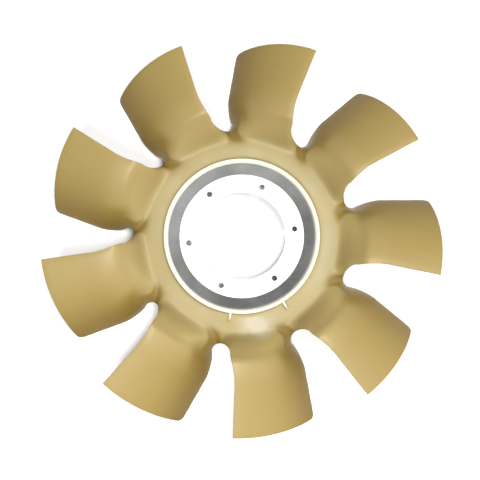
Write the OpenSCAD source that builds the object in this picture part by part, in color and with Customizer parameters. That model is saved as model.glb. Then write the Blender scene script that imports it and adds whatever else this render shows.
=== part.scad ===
// Nine-blade cooling fan, moulded in one piece round a pressed metal hub plate.
// Millimetres, +Z up along the fan's axis. The origin is the centre of the pilot
// bore, on the plate's front face. The fan lies on the rear rim of its hub ring.

/* [Fan] */
// Diameter over the blade tips
fan_d = 620; // [580:5:660]
// Number of blades
blade_n = 9; // [7:1:9]

/* [Blades] */
// Height of the leading edges in front of the plate's face
lead_z = 51; // [30:1:60]
// Depth of the trailing edges behind the plate's face
trail_z = 37; // [25:1:38]
// Angle from a blade's centreline to its leading edge, in degrees
lead_angle = 12.4; // [11:0.1:14]
// Distance from a blade's centreline to its trailing edge
trail_offset = 62; // [56:0.5:66]
// Turn of a blade's curved section from edge to edge, in degrees
camber = 56; // [30:1:66]
// Thickness of the web, and of a blade at its root
web_t = 5; // [4:0.25:6]
// Thickness of a blade at its tip
tip_t = 3.4; // [2.5:0.1:4]
// Thickness that a free edge is rounded down to
edge_t = 2; // [1.5:0.1:2.5]
// Rounding of the trailing corner at the tip
corner_r = 11; // [4:1:20]

/* [Web and slots] */
// Height of the web's middle where it leaves the hub ring
web_z = -2.5; // [-6:0.5:-1]
// Height of the web's middle between two blades, beside a slot
slot_z = 9; // [0:0.5:14]
// Radius at which the web starts to lift towards the slots
lift_start_r = 150; // [145:1:170]
// Radius at which the raised side of the wave starts to grow
rise_start_r = 155; // [130:1:160]
// Radius at which the raised side has its full height
rise_end_r = 198; // [190:1:220]
// Radius at which the sunken side of the wave starts to dish the web
dish_start_r = 143; // [132:1:150]
// Radius at which that dish has its full depth
dish_end_r = 164; // [156:1:172]
// Share of the sunken side's depth that the dish has
dish_share = 0.28; // [0:0.02:0.6]
// Radius at which the sunken side falls away past the dish
sink_start_r = 165; // [140:1:176]
// Radius at which the sunken side has its full depth
sink_end_r = 202; // [180:1:220]
// Height over which one side of the wave passes into the other
wave_soft = 18; // [4:1:24]
// Radius of the floor of the slot between two blades
slot_floor_r = 173; // [160:0.5:180]
// Radius at which the round end of a slot begins
slot_top_r = 187; // [182:1:195]
// Radius below which the leading edge flares out to the slot
flare_r = 235; // [225:1:260]
// Angle that the leading edge flares by at the slot, in degrees
flare_angle = 2.8; // [1:0.1:4]
// Radius below which the trailing edge is scooped in
scoop_r = 240; // [220:1:255]
// Depth of that scoop at the slot
scoop = 14.6; // [8:0.2:16]

/* [Hub ring] */
// Outer diameter of the hub ring
ring_d = 248; // [244:1:254]
// Wall of the ring in front of the plate
front_wall = 7.5; // [6:0.25:9]
// Height of the ring's front rim above the plate's face
ring_front = 9; // [7:0.5:12]
// Depth of the ring's rear rim behind the plate's face
ring_back = 40; // [40:1:50]
// Wall of the ring behind the plate
ring_wall = 6; // [5:0.5:8]
// Rounding of the rim's inner edge
lip_r = 5; // [2:0.5:5]
// Rounding of the rim's outer edge, and of the rear rim
rim_r = 1.2; // [0.8:0.1:1.6]
// Fillet where the ring stands on the web
foot_r = 2.5; // [1:0.5:4]

/* [Ribs] */
// Thickness of the ribs
rib_t = 3.6; // [2.5:0.1:5]
// Number of front ribs, one beside another slot
front_rib_n = 2; // [1:1:9]
// Slot beside which the first of them stands, counted round from zero
front_rib_first = 6; // [0:1:8]
// Length of the front ribs outside the ring
front_rib_len = 12.5; // [8:0.5:16]
// Height of the front ribs above the plate's face
front_rib_z = 6.5; // [4:0.5:7]
// Length of the rear ribs outside the ring
rear_rib_len = 30; // [15:1:34]
// Depth of the rear ribs at the ring, behind the plate's face
rear_rib_z = 34; // [20:1:36]
// Angle of the ribs beside the slots from a blade's centreline, in degrees
rib_angle = 21.8; // [18:0.1:23]

/* [Hub plate] */
// Diameter of the pilot bore
pilot_d = 140; // [120:1:146]
// Width of the sloping band round the plate's flat face, out to the ring
band_w = 17.5; // [14:0.5:20]
// Thickness of the plate
plate_t = 4; // [3:0.5:5]
// Rise of the sloping band from the face to the ring
band_rise = 5; // [3:0.5:6]
// Radius of the plate's bends, at mid thickness
bend_r = 6; // [4:0.5:8]
// Length of the plate's rim inside the ring
rim_grip = 4; // [3:0.5:5]
// Number of bolt holes
bolt_n = 6; // [4:1:8]
// Diameter of the circle that the bolt holes lie on
bolt_pcd = 170; // [164:1:176]
// Diameter of the bolt holes
bolt_d = 9; // [6.5:0.5:11]
// Angle of the first bolt hole from a blade's centreline, in degrees
bolt_angle = 7.5; // [0:0.5:30]

/* [Hidden] */
$fn = 96;

pitch = 360 / blade_n;
tip_r = fan_d / 2;
ring_r = ring_d / 2;
ring_in_r = ring_r - front_wall;
face_r = ring_in_r - band_w;
// Height at which the ring's wall becomes thinner, behind the plate's rim
ring_step = band_rise - 2 * plate_t;
// The web starts inside the ring's wall, so that the two are one solid.
web_in_r = ring_r - 3;
// The web's rows, its columns on a blade and in a slot, and a blade's rows
web_rows = 7;
blade_cols = 12;
slot_cols = 8;
blade_rows = 12;
cols = blade_cols + slot_cols;

// A smooth step from 0 to 1 as x goes from a to b
function smooth(x, a, b) =
    let (s = min(1, max(0, (x - a) / (b - a))))
    s * s * (3 - 2 * s);

// Angles of a blade's two edges at radius r, as seen from the front
function lead_at(r) =
    let (s = max(0, flare_r - max(r, slot_top_r)) / (flare_r - slot_top_r))
    -lead_angle - flare_angle * s * s;
function trail_at(r) =
    let (q = max(r, slot_top_r))
    let (s = max(0, scoop_r - q) / (scoop_r - slot_top_r))
    asin((trail_offset - scoop * s * s) / q);

// Drop of a blade's section below its leading edge, a share u of the way along
// it: an arc of a circle that turns by camber over the width w
function section_drop(u, w) =
    let (h = lead_z + trail_z)
    let (stagger = atan(h / w))
    let (radius = sqrt(h * h + w * w) / (2 * sin(camber / 2)))
    let (first = stagger - camber / 2)
    let (here = asin(sin(first) + u * w / radius))
    radius * (cos(first) - cos(here));

// Height across a slot, a share v of the way from the trailing edge of one
// blade to the leading edge of the next: a curve that leaves and meets the
// blades at their own slopes
function slot_height(v, w, gap) =
    let (stagger = atan((lead_z + trail_z) / w))
    let (leave = -tan(stagger + camber / 2) * gap)
    let (meet = -tan(stagger - camber / 2) * gap)
    -trail_z * (1 - v) * (1 - v) * (1 + 2 * v) + lead_z * v * v * (3 - 2 * v)
    + leave * v * (1 - v) * (1 - v) - meet * v * v * (1 - v);

// Height of the full wave at radius r and angle a
function wave(r, a) =
    let (lead = lead_at(r), trail = trail_at(r))
    let (turned = a - lead - pitch * floor((a - lead) / pitch))
    let (w = r * (trail - lead) * PI / 180)
    let (gap = r * (pitch - trail + lead) * PI / 180)
    turned < trail - lead
        ? lead_z - section_drop(turned / (trail - lead), w)
        : slot_height((turned - trail + lead) / (pitch - trail + lead), w, gap);

// Share of its full depth that the sunken side of the wave has at radius r
function sunken_share(r) =
    dish_share * smooth(r, dish_start_r, dish_end_r)
    + (1 - dish_share) * smooth(r, sink_start_r, sink_end_r);

// Height of the middle of the web and blades, where the raised and the sunken
// side of the wave each grow between radii of their own
function mid_z(r, a) =
    let (base = web_z + (slot_z - web_z) * smooth(r, lift_start_r, slot_top_r))
    let (full = wave(r, a) - base)
    let (raised = (full + sqrt(full * full + wave_soft * wave_soft)) / 2)
    base + smooth(r, rise_start_r, rise_end_r) * raised
    + sunken_share(r) * (full - raised);

function mid_point(r, a) = [r * cos(a), r * sin(a), mid_z(r, a)];

// Direction square to the web or blade at a point
function square_to(r, a) =
    let (along = mid_point(r + 0.5, a) - mid_point(r - 0.5, a))
    let (across = mid_point(r, a + 0.2) - mid_point(r, a - 0.2))
    let (n = cross(along, across))
    n / norm(n);

// Thickness at radius r, thinner where the point is on a free edge
function thickness(r, on_edge) =
    on_edge ? edge_t : web_t + (tip_t - web_t) * smooth(r, slot_top_r, tip_r);

// Share of a blade's width at column i, with the columns closer at the edges
function share(i) =
    let (u = i / blade_cols)
    0.4 * u + 0.3 * (1 - cos(180 * u));

// Outer end of the web at column i: a blade's root, or the slot's round end
function web_end(i) =
    let (lead = lead_at(slot_top_r), trail = trail_at(slot_top_r))
    let (half = (pitch - trail + lead) / 2)
    let (turn = 180 * (i - blade_cols) / slot_cols)
    i <= blade_cols
        ? [slot_top_r, lead + share(i) * (trail - lead)]
        : [slot_top_r - (slot_top_r - slot_floor_r) * sin(turn),
           trail + half * (1 - cos(turn))];

// Radius of a blade's tip, which falls away round its trailing corner
function tip_at(u) =
    let (w = tip_r * (trail_at(tip_r) - lead_at(tip_r)) * PI / 180)
    let (d = max(0, corner_r - (1 - u) * w))
    tip_r - corner_r + sqrt(corner_r * corner_r - d * d);

// Radius, angle and edge mark of the grid's point at column i, row j
function web_node(i, j) =
    let (end = web_end(i))
    let (start = i <= blade_cols
        ? end[1]
        : trail_at(slot_top_r) + (pitch - trail_at(slot_top_r)
            + lead_at(slot_top_r)) * (i - blade_cols) / slot_cols)
    let (s = j / web_rows)
    [web_in_r + (end[0] - web_in_r) * s, start + (end[1] - start) * s,
     j == web_rows && (i >= blade_cols || i == 0)];
function blade_node(i, j) =
    let (u = share(i))
    let (r = slot_top_r + (tip_at(u) - slot_top_r) * j / blade_rows)
    [r, lead_at(r) + u * (trail_at(r) - lead_at(r)),
     i == 0 || i == blade_cols || j == blade_rows];

// The point of the front (side 1) or rear (side -1) skin at a grid node
function skin_point(n, turn, side) =
    let (a = n[1] + turn)
    mid_point(n[0], a) + square_to(n[0], a) * side * thickness(n[0], n[2]) / 2;

// All grid nodes of one pitch: the web's rows, then the blade's
one_pitch = concat(
    [for (j = [0:web_rows], i = [0:cols - 1]) web_node(i, j)],
    [for (j = [1:blade_rows], i = [0:blade_cols]) blade_node(i, j)]
);
pitch_len = len(one_pitch);
side_len = pitch_len * blade_n;

// Place in the point list of a node of the web or of a blade
function web_at(k, i, j) =
    let (b = (k + floor(i / cols)) % blade_n)
    b * pitch_len + j * cols + i % cols;
function blade_at(k, i, j) =
    j == 0
        ? web_at(k, i, web_rows)
        : k * pitch_len + (web_rows + 1) * cols + (j - 1) * (blade_cols + 1) + i;

// Two triangles for four corners in turn
function pair(a, b, c, d) = [[a, b, c], [a, c, d]];

// Front skin cells as corner lists, and the free outline as point pairs
web_cells = [for (k = [0:blade_n - 1], i = [0:cols - 1], j = [0:web_rows - 1])
    [web_at(k, i, j), web_at(k, i + 1, j),
     web_at(k, i + 1, j + 1), web_at(k, i, j + 1)]];
blade_cells = [for (k = [0:blade_n - 1], i = [0:blade_cols - 1],
                    j = [0:blade_rows - 1])
    [blade_at(k, i, j), blade_at(k, i + 1, j),
     blade_at(k, i + 1, j + 1), blade_at(k, i, j + 1)]];
rim_pairs = [for (k = [0:blade_n - 1], i = [0:cols - 1])
    [web_at(k, i + 1, 0), web_at(k, i, 0)]];
slot_pairs = [for (k = [0:blade_n - 1], i = [blade_cols:cols - 1])
    [web_at(k, i, web_rows), web_at(k, i + 1, web_rows)]];
tip_pairs = [for (k = [0:blade_n - 1], i = [0:blade_cols - 1])
    [blade_at(k, i, blade_rows), blade_at(k, i + 1, blade_rows)]];
lead_pairs = [for (k = [0:blade_n - 1], j = [0:blade_rows - 1])
    [blade_at(k, 0, j), blade_at(k, 0, j + 1)]];
trail_pairs = [for (k = [0:blade_n - 1], j = [0:blade_rows - 1])
    [blade_at(k, blade_cols, j + 1), blade_at(k, blade_cols, j)]];

// The web and all blades, as one closed skin
module web_and_blades() {
    points = [for (side = [1, -1], k = [0:blade_n - 1], n = one_pitch)
        skin_point(n, k * pitch, side)];
    cells = concat(web_cells, blade_cells);
    outline = concat(rim_pairs, slot_pairs, tip_pairs, lead_pairs, trail_pairs);
    faces = concat(
        [for (c = cells, t = pair(c[0], c[3], c[2], c[1])) t],
        [for (c = cells, t = pair(c[0], c[1], c[2], c[3]))
            [for (p = t) p + side_len]],
        [for (e = outline, t = pair(e[0], e[1], e[1] + side_len, e[0] + side_len))
            t]
    );
    polyhedron(points, faces, convexity = 10);
}

// A rectangle between two radii and two heights
module block(r0, r1, z0, z1) {
    translate([r0, z0])
        square([r1 - r0, z1 - z0]);
}

// A rim's corner, rounded by a circle
module corner(r, z, radius) {
    translate([r, z])
        circle(radius);
}

// Section of the hub ring, with its rounded rims and the fillet on the web
module ring_section() {
    top = ring_front;
    foot = web_z + web_t / 2;
    thin_r = ring_r - ring_wall;
    // Front rim, round the plate
    block(ring_in_r, ring_r, ring_step, top - lip_r);
    block(ring_in_r + lip_r, ring_r - rim_r, top - lip_r - rim_r, top);
    block(ring_r - 2 * rim_r, ring_r, top - lip_r - rim_r, top - rim_r);
    corner(ring_in_r + lip_r, top - lip_r, lip_r);
    corner(ring_r - rim_r, top - rim_r, rim_r);
    // Rear of the ring
    block(thin_r, ring_r, rim_r - ring_back, 0);
    block(thin_r + rim_r, ring_r - rim_r, -ring_back, 0);
    corner(thin_r + rim_r, rim_r - ring_back, rim_r);
    corner(ring_r - rim_r, rim_r - ring_back, rim_r);
    // Fillet on the web
    difference() {
        block(ring_r - 1, ring_r + foot_r, web_z, foot + foot_r);
        corner(ring_r + foot_r, foot + foot_r, foot_r);
    }
}

module hub_ring() {
    rotate_extrude()
        ring_section();
}

// A short rib in front of the web, against the ring
module front_rib() {
    rotate([90, 0, 0])
        translate([0, 0, -rib_t / 2])
            linear_extrude(rib_t)
                polygon([
                    [ring_r - 1, web_z],
                    [ring_r + front_rib_len, web_z],
                    [ring_r + front_rib_len, front_rib_z - 1],
                    [ring_r - 1, front_rib_z]
                ]);
}

// A rib behind the web at angle a, whose top follows the web's middle
module rear_rib(a, reach) {
    end_r = ring_r + reach;
    rotate([0, 0, a])
        rotate([90, 0, 0])
            translate([0, 0, -rib_t / 2])
                linear_extrude(rib_t)
                    polygon(concat(
                        [[ring_r - 1, -rear_rib_z]],
                        [[end_r, mid_z(end_r, a) - web_t]],
                        [for (s = [1:-0.2:0])
                            let (r = ring_r - 1 + s * (reach + 1))
                            [r, mid_z(r, a)]]
                    ));
}

// Space in the ring for the rim of the hub plate
module rim_pocket() {
    translate([0, 0, band_rise - plate_t])
        difference() {
            cylinder(h = plate_t, r = ring_in_r + rim_grip);
            translate([0, 0, -1])
                cylinder(h = plate_t + 2, r = ring_in_r - 1);
        }
}

module fan_moulding() {
    color([0.73, 0.63, 0.38])
        difference() {
            union() {
                web_and_blades();
                hub_ring();
                for (k = [1:front_rib_n])
                    rotate([0, 0, (front_rib_first + k - 1) * pitch + rib_angle])
                        front_rib();
                for (k = [0:blade_n - 1]) {
                    rear_rib(k * pitch + rib_angle, rear_rib_len);
                    rear_rib(k * pitch, rear_rib_len);
                }
            }
            rim_pocket();
        }
}

// Corner i of a path, rounded by an arc of radius r: each of its points holds
// a place on the path and the direction square to it
function bend(path, i, r) =
    let (a = path[i] - path[i - 1], b = path[i + 1] - path[i])
    let (from = atan2(a[1], a[0]), to = atan2(b[1], b[0]))
    let (turn = to - from, hand = sign(turn))
    let (start = path[i] - a / norm(a) * r * tan(abs(turn) / 2))
    let (centre = start + hand * r * [-sin(from), cos(from)])
    [for (s = [0:0.25:1])
        let (here = from + s * turn)
        [centre - hand * r * [-sin(here), cos(here)], [-sin(here), cos(here)]]];

module plate_section() {
    mid = -plate_t / 2;
    path = [
        [pilot_d / 2, mid],
        [face_r, mid],
        [ring_in_r - bend_r / 6, mid + band_rise],
        [ring_in_r + rim_grip, mid + band_rise]
    ];
    line = concat(
        [[path[0], [0, 1]]],
        bend(path, 1, bend_r),
        bend(path, 2, bend_r),
        [[path[3], [0, 1]]]
    );
    n = len(line);
    polygon(concat(
        [for (p = line) p[0] + p[1] * plate_t / 2],
        [for (i = [n - 1:-1:0]) line[i][0] - line[i][1] * plate_t / 2]
    ));
}

module hub_plate() {
    color([0.78, 0.79, 0.8])
        difference() {
            rotate_extrude()
                plate_section();
            for (k = [0:bolt_n - 1])
                rotate([0, 0, bolt_angle + k * 360 / bolt_n])
                    translate([bolt_pcd / 2, 0, -2 * plate_t])
                        cylinder(h = 3 * plate_t, d = bolt_d);
        }
}

fan_moulding();
hub_plate();
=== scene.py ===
import math

import bpy
from mathutils import Euler, Matrix, Vector


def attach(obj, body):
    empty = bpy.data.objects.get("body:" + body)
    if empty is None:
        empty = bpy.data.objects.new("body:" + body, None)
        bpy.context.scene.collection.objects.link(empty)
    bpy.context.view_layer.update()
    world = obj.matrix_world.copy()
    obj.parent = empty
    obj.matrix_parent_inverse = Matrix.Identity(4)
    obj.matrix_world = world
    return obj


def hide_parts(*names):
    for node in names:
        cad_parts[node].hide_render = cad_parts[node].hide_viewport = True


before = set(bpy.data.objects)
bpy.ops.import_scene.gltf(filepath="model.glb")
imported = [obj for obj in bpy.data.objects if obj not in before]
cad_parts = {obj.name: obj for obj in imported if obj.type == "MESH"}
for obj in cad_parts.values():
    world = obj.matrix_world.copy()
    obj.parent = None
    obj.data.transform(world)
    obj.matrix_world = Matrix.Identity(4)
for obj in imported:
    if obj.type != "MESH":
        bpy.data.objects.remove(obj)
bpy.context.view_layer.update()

bpy.ops.object.select_all(action="DESELECT")


# Waved web and blades
# The real fan is one moulding of natural nylon. Its web leaves the hub ring
# flat, rises in nine waves, and each wave runs out into a cambered blade.

BLADES = 9
PITCH = 360 / BLADES

# Outline of a blade and of the slot beside it, seen along the axis
TIP_R = 0.3099
LEAD_ANGLE = 12.4
TRAIL_OFFSET = 0.062
CORNER_R = 0.006
FLARE_R = 0.235
FLARE_ANGLE = 2.8
SCOOP_R = 0.240
SCOOP = 0.0146
SLOT_FLOOR_R = 0.173
SLOT_TOP_R = 0.187

# Heights of the wave, and the turn of a blade's section from edge to edge
LEAD_Z = 0.051
TRAIL_Z = 0.037
CAMBER = 56
WEB_Z = -0.0025
SLOT_Z = 0.009
WAVE_SOFT = 0.018

# Where the web lifts, rises, dishes and sinks into the wave, by radius
LIFT_START_R = 0.150
RISE_START_R = 0.154
RISE_END_R = 0.200
RISE_ROUND = 0.15
DISH_START_R = 0.143
DISH_END_R = 0.164
DISH_SHARE = 0.38
SINK_START_R = 0.165
SINK_END_R = 0.202
EASE_START_R = 0.180
EASE_END_R = 0.150
EASE_ANGLE = 8

# Walls and edges
WEB_T = 0.005
TIP_T = 0.0034
EDGE_T = 0.002
EDGE_W = 0.008
EDGE_ROUND = 0.00084
FREE_EDGE_ANGLE = 55
RING_R = 0.124
WEB_IN_R = RING_R - 0.003

# Fineness of the mesh
BLADE_COLUMNS = 30
SLOT_COLUMNS = 22
WEB_ROWS = 16
BLADE_ROWS = 36
OUTLINE_STEPS = 40
EASE_STEPS = 3
EVEN_COLUMNS = 0.4
SAME_POINT = 0.00005


def smooth(x, a, b):
    """A smooth step from 0 to 1 as x goes from a to b."""
    s = min(1.0, max(0.0, (x - a) / (b - a)))
    return s * s * (3 - 2 * s)


def lead_at(r):
    """Angle of a blade's leading edge at radius r, in degrees."""
    s = max(0.0, FLARE_R - max(r, SLOT_TOP_R)) / (FLARE_R - SLOT_TOP_R)
    return -LEAD_ANGLE - FLARE_ANGLE * s * s


def trail_at(r):
    """Angle of a blade's trailing edge at radius r, in degrees."""
    q = max(r, SLOT_TOP_R)
    s = max(0.0, SCOOP_R - q) / (SCOOP_R - SLOT_TOP_R)
    return math.degrees(math.asin((TRAIL_OFFSET - SCOOP * s * s) / q))


def blade_height(u, width):
    """Height of a blade's section, a share u of the way along its arc."""
    drop = LEAD_Z + TRAIL_Z
    stagger = math.atan(drop / width)
    turn = math.radians(CAMBER)
    radius = math.hypot(drop, width) / (2 * math.sin(turn / 2))
    first = stagger - turn / 2
    here = math.asin(math.sin(first) + u * width / radius)
    return LEAD_Z - radius * (math.cos(first) - math.cos(here))


def slot_height(v, width, gap):
    """Height across a slot, which meets both blades at their own slopes."""
    stagger = math.atan((LEAD_Z + TRAIL_Z) / width)
    half = math.radians(CAMBER / 2)
    leave = -math.tan(stagger + half) * gap
    meet = -math.tan(stagger - half) * gap
    w = 1 - v
    return (-TRAIL_Z * w * w * (1 + 2 * v) + LEAD_Z * v * v * (3 - 2 * v)
            + leave * v * w * w - meet * v * v * w)


def raised_share(r):
    """Share of its full height that the raised side has: an even slope, rounded at its ends."""
    s = min(1.0, max(0.0, (r - RISE_START_R) / (RISE_END_R - RISE_START_R)))
    if s < RISE_ROUND:
        return s * s / (2 * RISE_ROUND * (1 - RISE_ROUND))
    if s > 1 - RISE_ROUND:
        return 1 - (1 - s) ** 2 / (2 * RISE_ROUND * (1 - RISE_ROUND))
    return (s - RISE_ROUND / 2) / (1 - RISE_ROUND)


def sunken_share(r):
    """Share of its full depth that the sunken side of the wave has at radius r."""
    return (DISH_SHARE * smooth(r, DISH_START_R, DISH_END_R)
            + (1 - DISH_SHARE) * smooth(r, SINK_START_R, SINK_END_R))


def wave(r, angle):
    """Full height of the wave at a place, over a blade or over a slot."""
    lead, trail = lead_at(r), trail_at(r)
    turned = (angle - lead) % PITCH
    width = r * math.radians(trail - lead)
    if turned < trail - lead:
        return blade_height(turned / (trail - lead), width)
    rest = PITCH - trail + lead
    return slot_height((turned - trail + lead) / rest, width, r * math.radians(rest))


def mid_z(r, angle):
    """Height of the middle of the web or blade at a place."""
    base = WEB_Z + (SLOT_Z - WEB_Z) * smooth(r, LIFT_START_R, SLOT_TOP_R)
    # Hubward of a slot its steep step eases out: the mean of a widening arc
    ease = EASE_ANGLE * smooth(r, EASE_START_R, EASE_END_R) / EASE_STEPS
    arc_heights = [wave(r, angle + k * ease) for k in range(-EASE_STEPS, EASE_STEPS + 1)]
    full = sum(arc_heights) / len(arc_heights) - base
    raised = (full + math.hypot(full, WAVE_SOFT)) / 2
    return base + raised_share(r) * raised + sunken_share(r) * (full - raised)


def mid_point(r, angle):
    """A place on the middle of the moulding's wall."""
    a = math.radians(angle)
    return Vector((r * math.cos(a), r * math.sin(a), mid_z(r, angle)))


def share(s):
    """Share of a blade's width at column s, closer together at the edges."""
    return EVEN_COLUMNS * s + (1 - EVEN_COLUMNS) / 2 * (1 - math.cos(math.pi * s))


def tip_at(u):
    """Radius of the tip, which falls away round the trailing corner."""
    width = TIP_R * math.radians(trail_at(TIP_R) - lead_at(TIP_R))
    d = max(0.0, CORNER_R - (1 - u) * width)
    return TIP_R - CORNER_R + math.sqrt(CORNER_R ** 2 - d * d)


def slot_end(turn):
    """Radius and angle on the round end of a slot, turn from 0 to pi."""
    half = (PITCH - trail_at(SLOT_TOP_R) + lead_at(SLOT_TOP_R)) / 2
    return (SLOT_TOP_R - (SLOT_TOP_R - SLOT_FLOOR_R) * math.sin(turn),
            trail_at(SLOT_TOP_R) + half * (1 - math.cos(turn)))


def blade_place(x, y):
    """Radius and angle on a blade, x across it and y from the slots to the tip."""
    u = share(x)
    r = SLOT_TOP_R + (tip_at(u) - SLOT_TOP_R) * y
    return r, lead_at(r) + u * (trail_at(r) - lead_at(r))


def web_place(x, y):
    """Radius and angle on one pitch of the web, x round it and y outwards."""
    column = x * (BLADE_COLUMNS + SLOT_COLUMNS)
    lead, trail = lead_at(SLOT_TOP_R), trail_at(SLOT_TOP_R)
    if column < BLADE_COLUMNS + 0.5:
        end = (SLOT_TOP_R, lead + share(column / BLADE_COLUMNS) * (trail - lead))
        start = end[1]
    else:
        s = (column - BLADE_COLUMNS) / SLOT_COLUMNS
        end = slot_end(math.pi * s)
        start = trail + (PITCH - trail + lead) * s
    return WEB_IN_R + (end[0] - WEB_IN_R) * y, start + (end[1] - start) * y


def plan(r, angle):
    """A place seen along the fan's axis."""
    a = math.radians(angle)
    return Vector((r * math.cos(a), r * math.sin(a)))


# The free outline of one pitch and its neighbours, seen along the fan's axis
free_edge = []
for k in (-1, 0, 1):
    for n in range(OUTLINE_STEPS + 1):
        s = n / OUTLINE_STEPS
        for r, angle in (blade_place(0, s), blade_place(1, s), blade_place(s, 1),
                         slot_end(math.pi * s)):
            free_edge.append(plan(r, angle + k * PITCH))


def thickness_at(r, angle):
    """Thickness of the moulding, which thins to the tip and to a free edge."""
    here = plan(r, angle)
    near = min((here - p).length for p in free_edge)
    full = WEB_T + (TIP_T - WEB_T) * smooth(r, SLOT_TOP_R, TIP_R)
    return EDGE_T + (full - EDGE_T) * (2 * smooth(near, -EDGE_W, EDGE_W) - 1)


def sheet(name, columns, rows, place):
    """A flat grid laid over the moulding's mid surface, with its thickness."""
    bpy.ops.mesh.primitive_grid_add(x_subdivisions=columns, y_subdivisions=rows, size=2)
    grid = bpy.context.object
    grid.name = name
    group = grid.vertex_groups.new(name="thickness")
    for v in grid.data.vertices:
        r, angle = place((v.co.x + 1) / 2, (v.co.y + 1) / 2)
        v.co = mid_point(r, angle)
        group.add([v.index], thickness_at(r, angle) / WEB_T, "REPLACE")
    return grid


web_sheet = sheet("web_sheet", BLADE_COLUMNS + SLOT_COLUMNS, WEB_ROWS, web_place)
blade_sheet = sheet("blade_sheet", BLADE_COLUMNS, BLADE_ROWS, blade_place)
for one in (web_sheet, blade_sheet):
    for k in range(1, BLADES):
        copy = one.copy()
        copy.data = one.data.copy()
        copy.data.transform(Matrix.Rotation(math.radians(k * PITCH), 4, "Z"))
        bpy.context.collection.objects.link(copy)
        copy.select_set(True)
    one.select_set(True)
bpy.context.view_layer.objects.active = web_sheet
bpy.ops.object.join()
blades = bpy.context.object
blades.name = "web_and_blades"
bpy.ops.object.mode_set(mode="EDIT")
bpy.ops.mesh.select_all(action="SELECT")
bpy.ops.mesh.remove_doubles(threshold=SAME_POINT)
bpy.ops.mesh.normals_make_consistent(inside=False)
bpy.ops.object.mode_set(mode="OBJECT")

# The sheet gets its wall, and the free edges their small rounding
wall = blades.modifiers.new("wall", "SOLIDIFY")
wall.thickness = WEB_T
wall.offset = 0
wall.vertex_group = "thickness"
wall.use_quality_normals = True
bpy.ops.object.modifier_apply(modifier="wall")
round_edge = blades.modifiers.new("round_edge", "BEVEL")
round_edge.width = EDGE_ROUND
round_edge.segments = 3
round_edge.limit_method = "ANGLE"
round_edge.angle_limit = math.radians(FREE_EDGE_ANGLE)
bpy.ops.object.modifier_apply(modifier="round_edge")
bpy.ops.object.shade_smooth()


def distance_from_axis(tree, position):
    """Distance of the shaded point from the fan's axis."""
    flat = tree.nodes.new("ShaderNodeVectorMath")
    flat.operation = "MULTIPLY"
    flat.inputs[1].default_value = (1, 1, 0)
    tree.links.new(position, flat.inputs[0])
    length = tree.nodes.new("ShaderNodeVectorMath")
    length.operation = "LENGTH"
    tree.links.new(flat.outputs[0], length.inputs[0])
    return length.outputs["Value"]


def step_between(tree, value, low, high):
    """A soft mask from 0 at low to 1 at high; each a number or a socket."""
    ramp = tree.nodes.new("ShaderNodeMapRange")
    ramp.interpolation_type = "SMOOTHSTEP"
    for limit, socket in ((low, ramp.inputs["From Min"]), (high, ramp.inputs["From Max"])):
        if isinstance(limit, (int, float)):
            socket.default_value = limit
        else:
            tree.links.new(limit, socket)
    tree.links.new(value, ramp.inputs["Value"])
    return ramp.outputs["Result"]


def product(tree, a, b):
    """The mask where both masks are."""
    node = tree.nodes.new("ShaderNodeMath")
    node.operation = "MULTIPLY"
    tree.links.new(a, node.inputs[0])
    tree.links.new(b, node.inputs[1])
    return node.outputs[0]


def noise(tree, position, scale, detail, rough=0.5):
    """Soft noise over the surface, from about 0 to 1."""
    node = tree.nodes.new("ShaderNodeTexNoise")
    node.inputs["Scale"].default_value = scale
    node.inputs["Detail"].default_value = detail
    node.inputs["Roughness"].default_value = rough
    tree.links.new(position, node.inputs["Vector"])
    return node.outputs["Fac"]


def blend_colour(tree, mask, a, b):
    """Colour a where the mask is 0 and b where it is 1; each a colour or a socket."""
    mix = tree.nodes.new("ShaderNodeMix")
    mix.data_type = "RGBA"
    tree.links.new(mask, mix.inputs["Factor"])
    for value, socket in ((a, mix.inputs[6]), (b, mix.inputs[7])):
        if isinstance(value, tuple):
            socket.default_value = (*value, 1)
        else:
            tree.links.new(value, socket)
    return mix.outputs[2]


def shared_effect(name, labels):
    """An empty node group: a position and named numbers go in, a mask comes out."""
    group = bpy.data.node_groups.new(name, "ShaderNodeTree")
    group.interface.new_socket("Position", in_out="INPUT", socket_type="NodeSocketVector")
    for label in labels:
        group.interface.new_socket(label, in_out="INPUT", socket_type="NodeSocketFloat")
    group.interface.new_socket("Mask", in_out="OUTPUT", socket_type="NodeSocketFloat")
    given = group.nodes.new("NodeGroupInput").outputs
    result = group.nodes.new("NodeGroupOutput").inputs
    return group, given, result


def zone_effect():
    """A soft zone round the axis, from 0 at one radius to 1 at the other."""
    group, given, result = shared_effect("zone_round_axis", ("From Radius", "To Radius"))
    radius = distance_from_axis(group, given["Position"])
    mask = step_between(group, radius, given["From Radius"], given["To Radius"])
    group.links.new(mask, result["Mask"])
    return group


def patch_effect():
    """Soft irregular patches, such as stains, flow marks and wear, and painted highlights."""
    grain = ("Scale", "Detail", "Roughness")
    group, given, result = shared_effect("patches", grain + ("Low", "High"))
    cloud = group.nodes.new("ShaderNodeTexNoise")
    group.links.new(given["Position"], cloud.inputs["Vector"])
    for label in grain:
        group.links.new(given[label], cloud.inputs[label])
    mask = step_between(group, cloud.outputs["Fac"], given["Low"], given["High"])
    group.links.new(mask, result["Mask"])
    return group


def placed(tree, effect, position, **values):
    """The mask of a shared effect, placed in a material with its own values."""
    node = tree.nodes.new("ShaderNodeGroup")
    node.node_tree = effect
    tree.links.new(position, node.inputs["Position"])
    for label, value in values.items():
        node.inputs[label.replace("_", " ")].default_value = value
    return node.outputs["Mask"]


zone_group = zone_effect()
patch_group = patch_effect()


def zone(tree, position, start_r, end_r):
    """A soft zone round the axis, placed in a material."""
    return placed(tree, zone_group, position, From_Radius=start_r, To_Radius=end_r)


def patches(tree, position, scale, detail, rough, low, high):
    """Soft irregular patches, placed in a material."""
    return placed(tree, patch_group, position, Scale=scale, Detail=detail, Roughness=rough,
                  Low=low, High=high)


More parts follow.
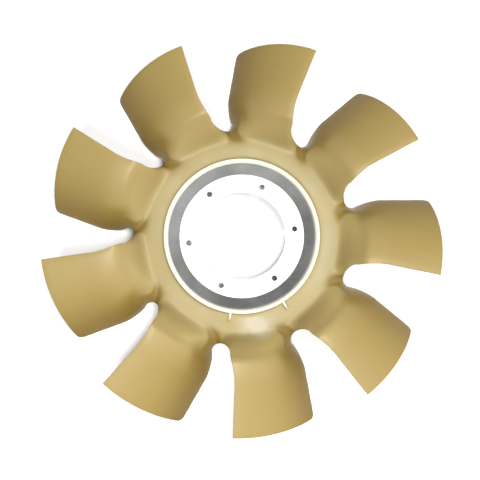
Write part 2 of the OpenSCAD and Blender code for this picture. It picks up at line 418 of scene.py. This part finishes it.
def nylon_material():
    """Natural nylon with painted shade: amber on its steep faces and dark in the root hollows;
    paler round the hub, with painted light and highlights there.
    """
    tan = (0.276, 0.200, 0.064)
    worn = (0.260, 0.185, 0.057)
    # Painted shade for the steep faces of the blades
    steep_shade_colour = (0.164, 0.098, 0.005)
    # Painted shade for the hollows at the roots
    dish_shade_colour = (0.190, 0.128, 0.031)
    # Painted light for the raised roots
    root = (0.304, 0.227, 0.087)
    pale = (0.297, 0.235, 0.099)
    # Painted highlight for the web beside the ring
    ring_highlight_colour = (0.336, 0.283, 0.148)
    rim = (0.602, 0.574, 0.476)
    # Painted highlight between the two front ribs, and where it lies
    rib_gap_highlight_colour = (0.406, 0.350, 0.252)
    rib_gap_highlight_place = (0.022, -0.137, 0)
    material = bpy.data.materials.new("natural_nylon")
    material.use_nodes = True
    tree = material.node_tree
    shader = tree.nodes["Principled BSDF"]
    coordinates = tree.nodes.new("ShaderNodeTexCoord")
    position = coordinates.outputs["Object"]

    # Faint flow marks run outwards: noise on the direction from the axis
    direction = tree.nodes.new("ShaderNodeVectorMath")
    direction.operation = "NORMALIZE"
    tree.links.new(position, direction.inputs[0])
    flow = patches(tree, direction.outputs[0], scale=26, detail=4, rough=0.6, low=0.2, high=0.9)
    cloud = patches(tree, position, scale=9, detail=3, rough=0.5, low=0.3, high=0.8)
    # Paler towards the hub: partly the nylon's own tone, partly painted light on the rising
    # roots
    towards_hub = zone(tree, position, start_r=0.210, end_r=0.145)
    colour = blend_colour(tree, flow, tan, worn)
    colour = blend_colour(tree, cloud, colour, tan)
    colour = blend_colour(tree, towards_hub, colour, pale)

    # Painted shade: the steep faces of the blades, out from the roots, are painted a deeper
    # amber
    facing = tree.nodes.new("ShaderNodeSeparateXYZ")
    tree.links.new(coordinates.outputs["Normal"], facing.inputs[0])
    level = tree.nodes.new("ShaderNodeMath")
    level.operation = "ABSOLUTE"
    tree.links.new(facing.outputs["Z"], level.inputs[0])
    steep_shade_mask = product(tree, step_between(tree, level.outputs[0], low=0.90, high=0.42),
                    zone(tree, position, start_r=0.160, end_r=0.208))
    colour = blend_colour(tree, steep_shade_mask, colour, steep_shade_colour)

    # Painted shade darkens the dished hollows at the roots, and painted light makes the raised
    # roots paler
    place = tree.nodes.new("ShaderNodeSeparateXYZ")
    tree.links.new(position, place.inputs[0])
    height = place.outputs["Z"]
    round_roots = product(tree, zone(tree, position, start_r=0.132, end_r=0.148),
                          zone(tree, position, start_r=0.215, end_r=0.180))
    dish_shade_mask = product(tree, step_between(tree, height, low=0.0, high=-0.0040), round_roots)
    root_light_mask = product(tree, step_between(tree, height, low=0.004, high=0.022),
                     zone(tree, position, start_r=0.240, end_r=0.195))
    colour = blend_colour(tree, dish_shade_mask, colour, dish_shade_colour)
    colour = blend_colour(tree, root_light_mask, colour, root)

    # Painted highlights: soft pale patches on the web beside the ring
    off_ring = zone(tree, position, start_r=0.127, end_r=0.132)
    beside_ring = product(tree, off_ring, zone(tree, position, start_r=0.156, end_r=0.134))
    ring_highlight_patches = patches(tree, position, scale=10, detail=2, rough=0.5, low=0.35, high=0.70)
    colour = blend_colour(tree, product(tree, ring_highlight_patches, beside_ring), colour, ring_highlight_colour)

    # A painted highlight between the two front ribs, nearly white
    from_rib_gap_highlight = tree.nodes.new("ShaderNodeVectorMath")
    from_rib_gap_highlight.operation = "DISTANCE"
    from_rib_gap_highlight.inputs[1].default_value = rib_gap_highlight_place
    tree.links.new(position, from_rib_gap_highlight.inputs[0])
    near_rib_gap_highlight = step_between(tree, from_rib_gap_highlight.outputs["Value"], low=0.040, high=0.008)
    rib_gap_highlight_patches = patches(tree, position, scale=30, detail=2, rough=0.5, low=0.25, high=0.60)
    rib_gap_highlight_mask = product(tree, near_rib_gap_highlight, product(tree, off_ring, rib_gap_highlight_patches))
    colour = blend_colour(tree, rib_gap_highlight_mask, colour, rib_gap_highlight_colour)

    # The ring's front rim and the tops of the front ribs are paler
    raised = step_between(tree, height, low=0.0030, high=0.0046)
    pale_top_mask = product(tree, raised, zone(tree, position, start_r=0.140, end_r=0.124))
    colour = blend_colour(tree, pale_top_mask, colour, rim)
    tree.links.new(colour, shader.inputs["Base Color"])

    # Satin all over, and polished by air and dust at the roots between the slots
    gloss = tree.nodes.new("ShaderNodeMapRange")
    gloss.inputs["To Min"].default_value = 0.48
    gloss.inputs["To Max"].default_value = 0.62
    tree.links.new(noise(tree, position, scale=60, detail=3), gloss.inputs["Value"])
    polished = product(tree, zone(tree, position, start_r=0.148, end_r=0.160),
                       zone(tree, position, start_r=0.230, end_r=0.200))
    polish = tree.nodes.new("ShaderNodeMath")
    polish.operation = "MULTIPLY_ADD"
    polish.inputs[1].default_value = -0.14
    tree.links.new(polished, polish.inputs[0])
    tree.links.new(gloss.outputs["Result"], polish.inputs[2])
    tree.links.new(polish.outputs[0], shader.inputs["Roughness"])
    shader.inputs["IOR"].default_value = 1.38
    shader.inputs["Subsurface Weight"].default_value = 0.12
    shader.inputs["Subsurface Radius"].default_value = (1.0, 0.7, 0.3)
    shader.inputs["Subsurface Scale"].default_value = 0.004

    # The fine grain of the mould's wall
    grain = noise(tree, position, scale=900, detail=2)
    bump = tree.nodes.new("ShaderNodeBump")
    bump.inputs["Strength"].default_value = 0.12
    bump.inputs["Distance"].default_value = 0.0002
    tree.links.new(grain, bump.inputs["Height"])
    tree.links.new(bump.outputs["Normal"], shader.inputs["Normal"])
    return material


nylon = nylon_material()
blades.data.materials.append(nylon)
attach(blades, "root")
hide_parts("fan_moulding")


# Hub ring
# A ring of the same nylon, moulded round the rim of the metal plate. It has a
# rounded front rim, a thinner wall behind, and a fillet where the web starts.

RING_IN_R = 0.1165
RING_FRONT = 0.009
RING_BACK = 0.040
RING_WALL = 0.006
RING_STEP_Z = -0.003
LIP_R = 0.005
RIM_R = 0.0012
FOOT_R = 0.0025
TURN_STEPS = 216
RING_SAME_POINT = 0.000005
SHARP_ANGLE = 40


def arc(r, z, radius, first, last, steps):
    """Points on an arc of the section, angles in degrees."""
    return [(r + radius * math.cos(math.radians(first + (last - first) * n / steps)),
             z + radius * math.sin(math.radians(first + (last - first) * n / steps)))
            for n in range(steps + 1)]


def turned(name, section):
    """A body turned from a closed section of (radius, height) points."""
    r, z = section[0]
    bpy.ops.mesh.primitive_circle_add(vertices=TURN_STEPS, radius=r, location=(0, 0, z))
    body = bpy.context.object
    body.name = name
    bpy.ops.object.transform_apply(location=True, rotation=True, scale=True)
    bpy.ops.object.mode_set(mode="EDIT")
    bpy.ops.mesh.select_all(action="SELECT")
    for new_r, new_z in section[1:] + section[:1]:
        bpy.ops.mesh.extrude_edges_move()
        bpy.ops.transform.resize(value=(new_r / r, new_r / r, 1), center_override=(0, 0, z))
        bpy.ops.transform.translate(value=(0, 0, new_z - z))
        r, z = new_r, new_z
    bpy.ops.mesh.select_all(action="SELECT")
    bpy.ops.mesh.remove_doubles(threshold=RING_SAME_POINT)
    bpy.ops.mesh.normals_make_consistent(inside=False)
    bpy.ops.object.mode_set(mode="OBJECT")
    bpy.ops.object.shade_smooth_by_angle(angle=math.radians(SHARP_ANGLE))
    return body


foot_z = WEB_Z + WEB_T / 2
thin_r = RING_R - RING_WALL
ring_section = (
    [(RING_IN_R, RING_STEP_Z)]
    + arc(RING_IN_R + LIP_R, RING_FRONT - LIP_R, LIP_R, 180, 90, steps=10)
    + arc(RING_R - RIM_R, RING_FRONT - RIM_R, RIM_R, 90, 0, steps=4)
    + arc(RING_R + FOOT_R, foot_z + FOOT_R, FOOT_R, 180, 270, steps=6)
    + [(RING_R + FOOT_R, WEB_Z), (RING_R, WEB_Z - WEB_T / 2)]
    + arc(RING_R - RIM_R, RIM_R - RING_BACK, RIM_R, 0, -90, steps=4)
    + arc(thin_r + RIM_R, RIM_R - RING_BACK, RIM_R, 270, 180, steps=4)
    + [(thin_r, RING_STEP_Z)]
)
ring = turned("hub_ring", ring_section)
ring.data.materials.append(nylon)
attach(ring, "root")
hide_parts("fan_moulding")


# Ribs
# Two short ribs stand in front of the web against the ring, beside two slots,
# and deeper ones behind it at each slot and each blade, all moulded with it.

RIB_T = 0.0036
RIB_EDGE = 0.0006
RIB_IN_R = RING_R - 0.001
RIB_BLOCK_H = 0.02
SLOT_RIB_ANGLE = 21.8
BLADE_RIB_ANGLE = 0
FRONT_RIBS_AT = (6, 7)
FRONT_RIB_LEN = 0.0125
FRONT_RIB_Z = 0.0065
FRONT_RIB_FALL = 0.001
REAR_RIB_LEN = 0.030
REAR_RIB_Z = 0.034
REAR_RIB_PARTS = 5


def rib(name, reach, parts, top, bottom):
    """A rib from inside the ring's wall out to reach, top and bottom as given."""
    bpy.ops.mesh.primitive_cube_add(size=1, location=((RIB_IN_R + reach) / 2, 0, 0),
                                    scale=(reach - RIB_IN_R, RIB_T, RIB_BLOCK_H))
    body = bpy.context.object
    body.name = name
    bpy.ops.object.transform_apply(location=True, rotation=True, scale=True)
    bpy.ops.object.mode_set(mode="EDIT")
    for n in range(1, parts):
        cut_r = RIB_IN_R + (reach - RIB_IN_R) * n / parts
        bpy.ops.mesh.select_all(action="SELECT")
        bpy.ops.mesh.bisect(plane_co=(cut_r, 0, 0), plane_no=(1, 0, 0))
    bpy.ops.object.mode_set(mode="OBJECT")
    for v in body.data.vertices:
        v.co.z = top(v.co.x) if v.co.z > 0 else bottom(v.co.x)
    bevel = body.modifiers.new("soft_edge", "BEVEL")
    bevel.width = RIB_EDGE
    bevel.segments = 3
    bevel.limit_method = "ANGLE"
    bevel.angle_limit = math.radians(SHARP_ANGLE)
    bpy.ops.object.modifier_apply(modifier="soft_edge")
    bpy.ops.object.shade_smooth_by_angle(angle=math.radians(SHARP_ANGLE))
    return body


def ring_of_ribs(first, angle, pitches):
    """The first rib and its copies, turned by whole pitches and joined."""
    bpy.ops.object.select_all(action="DESELECT")
    for k in pitches[1:]:
        copy = first.copy()
        copy.data = first.data.copy()
        copy.data.transform(Matrix.Rotation(math.radians(angle + k * PITCH), 4, "Z"))
        bpy.context.collection.objects.link(copy)
        copy.select_set(True)
    first.data.transform(Matrix.Rotation(math.radians(angle + pitches[0] * PITCH), 4, "Z"))
    first.select_set(True)
    bpy.context.view_layer.objects.active = first
    bpy.ops.object.join()
    ribs = bpy.context.object
    ribs.data.materials.append(nylon)
    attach(ribs, "root")
    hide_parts("fan_moulding")


def front_top(x):
    """Upper edge of a front rib, which falls a little outwards."""
    return FRONT_RIB_Z - FRONT_RIB_FALL * (x - RING_R) / FRONT_RIB_LEN


front_rib = rib("front_ribs", RING_R + FRONT_RIB_LEN, 1, front_top, lambda x: WEB_Z)
ring_of_ribs(front_rib, SLOT_RIB_ANGLE, FRONT_RIBS_AT)


def rear_rib(name, angle):
    """A rear rib from the ring's back to the underside of the web."""
    reach = RING_R + REAR_RIB_LEN
    low = mid_z(reach, angle) - WEB_T

    def bottom(x):
        return -REAR_RIB_Z + (low + REAR_RIB_Z) * (x - RING_R) / REAR_RIB_LEN

    return rib(name, reach, REAR_RIB_PARTS, lambda x: mid_z(x, angle), bottom)


for name, angle in (("rear_slot_ribs", SLOT_RIB_ANGLE), ("rear_blade_ribs", BLADE_RIB_ANGLE)):
    ring_of_ribs(rear_rib(name, angle), angle, range(BLADES))


# Hub plate
# A pressed metal disc that the ring is moulded round. Its flat face is turned
# bright for the fan drive, and the sloping band round it is left as pressed.

FACE_R = 0.099
FACE_EDGE = 0.0003


def plate_material():
    """Steel: a bright turned face with fine rings, and a dull grey band."""
    bright = (0.42, 0.42, 0.415)
    stained = (0.36, 0.36, 0.355)
    dull = (0.083, 0.083, 0.081)
    scaled = (0.136, 0.137, 0.132)
    material = bpy.data.materials.new("pressed_steel")
    material.use_nodes = True
    tree = material.node_tree
    shader = tree.nodes["Principled BSDF"]
    position = tree.nodes.new("ShaderNodeTexCoord").outputs["Object"]
    band = zone(tree, position, start_r=FACE_R - FACE_EDGE, end_r=FACE_R + 2 * FACE_EDGE)

    # Turning marks are fine rings round the axis
    rings = tree.nodes.new("ShaderNodeCombineXYZ")
    tree.links.new(distance_from_axis(tree, position), rings.inputs["X"])
    marks = noise(tree, rings.outputs[0], scale=900, detail=2, rough=0.7)

    # Handling stains the face, and scale from the press mottles the band
    stain = patches(tree, position, scale=24, detail=4, rough=0.6, low=0.5, high=0.9)
    scale = patches(tree, position, scale=11, detail=4, rough=0.6, low=0.36, high=0.68)
    face = blend_colour(tree, stain, bright, stained)
    pressed = blend_colour(tree, scale, dull, scaled)
    tree.links.new(blend_colour(tree, band, face, pressed), shader.inputs["Base Color"])

    # The band is duller than the face, and its scale is only partly metal
    shine = tree.nodes.new("ShaderNodeMapRange")
    shine.inputs["To Min"].default_value = 0.40
    shine.inputs["To Max"].default_value = 0.55
    tree.links.new(marks, shine.inputs["Value"])
    matt = tree.nodes.new("ShaderNodeMath")
    matt.operation = "MULTIPLY_ADD"
    matt.inputs[1].default_value = 0.05
    tree.links.new(band, matt.inputs[0])
    tree.links.new(shine.outputs["Result"], matt.inputs[2])
    tree.links.new(matt.outputs[0], shader.inputs["Roughness"])
    metal = tree.nodes.new("ShaderNodeMapRange")
    metal.inputs["To Min"].default_value = 1.0
    metal.inputs["To Max"].default_value = 0.50
    tree.links.new(band, metal.inputs["Value"])
    tree.links.new(metal.outputs["Result"], shader.inputs["Metallic"])

    bump = tree.nodes.new("ShaderNodeBump")
    bump.inputs["Strength"].default_value = 0.15
    bump.inputs["Distance"].default_value = 0.00005
    tree.links.new(marks, bump.inputs["Height"])
    tree.links.new(bump.outputs["Normal"], shader.inputs["Normal"])
    return material


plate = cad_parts["hub_plate"]
plate.data.materials.clear()
plate.data.materials.append(plate_material())


# Floor, light and camera
# The fan lies on a plain pale floor under three soft lights, which stand round
# the camera and to its right. The camera looks down as the photograph does.

FLOOR_Z = -RING_BACK
FLOOR_SIZE = 12
ROOM_LIGHT = 0.086
CAMERA_PLACE = (0.0238, -0.1498, 1.292)
CAMERA_TILT = (6.33, 1.18, 0)
SENSOR = 36
FOCAL_PIXELS = 816
IMAGE_PIXELS = 480

bpy.ops.mesh.primitive_plane_add(size=FLOOR_SIZE, location=(0, 0, FLOOR_Z))
floor = bpy.context.object
floor.name = "floor"
paper = bpy.data.materials.new("floor_paper")
paper.use_nodes = True
paper_shader = paper.node_tree.nodes["Principled BSDF"]
paper_shader.inputs["Base Color"].default_value = (0.96, 0.96, 0.96, 1)
paper_shader.inputs["Roughness"].default_value = 0.9
floor.data.materials.append(paper)


def soft_light(name, place, size, power):
    """A square soft box that faces the middle of the fan."""
    data = bpy.data.lights.new(name, "AREA")
    data.shape = "SQUARE"
    data.size = size
    data.energy = power
    light = bpy.data.objects.new(name, data)
    light.location = place
    light.rotation_euler = (-Vector(place)).to_track_quat("-Z", "Y").to_euler()
    bpy.context.collection.objects.link(light)


soft_light("key_light", place=(0.55, 0.20, 2.00), size=0.90, power=44.3)
soft_light("fill_light", place=(-0.18, -0.60, 1.36), size=0.50, power=21.4)
soft_light("right_light", place=(3.6, -0.1, 1.7), size=2.2, power=44.3)

world = bpy.data.worlds.new("studio")
world.use_nodes = True
world.node_tree.nodes["Background"].inputs["Color"].default_value = (1, 1, 1, 1)
world.node_tree.nodes["Background"].inputs["Strength"].default_value = ROOM_LIGHT
bpy.context.scene.world = world
bpy.context.scene.view_settings.view_transform = "Standard"

camera_data = bpy.data.cameras.new("camera")
camera_data.sensor_width = SENSOR
camera_data.lens = FOCAL_PIXELS / IMAGE_PIXELS * SENSOR
camera_data.dof.use_dof = False
camera = bpy.data.objects.new("camera", camera_data)
camera.location = CAMERA_PLACE
camera.rotation_euler = Euler([math.radians(t) for t in CAMERA_TILT])
bpy.context.collection.objects.link(camera)
bpy.context.scene.camera = camera
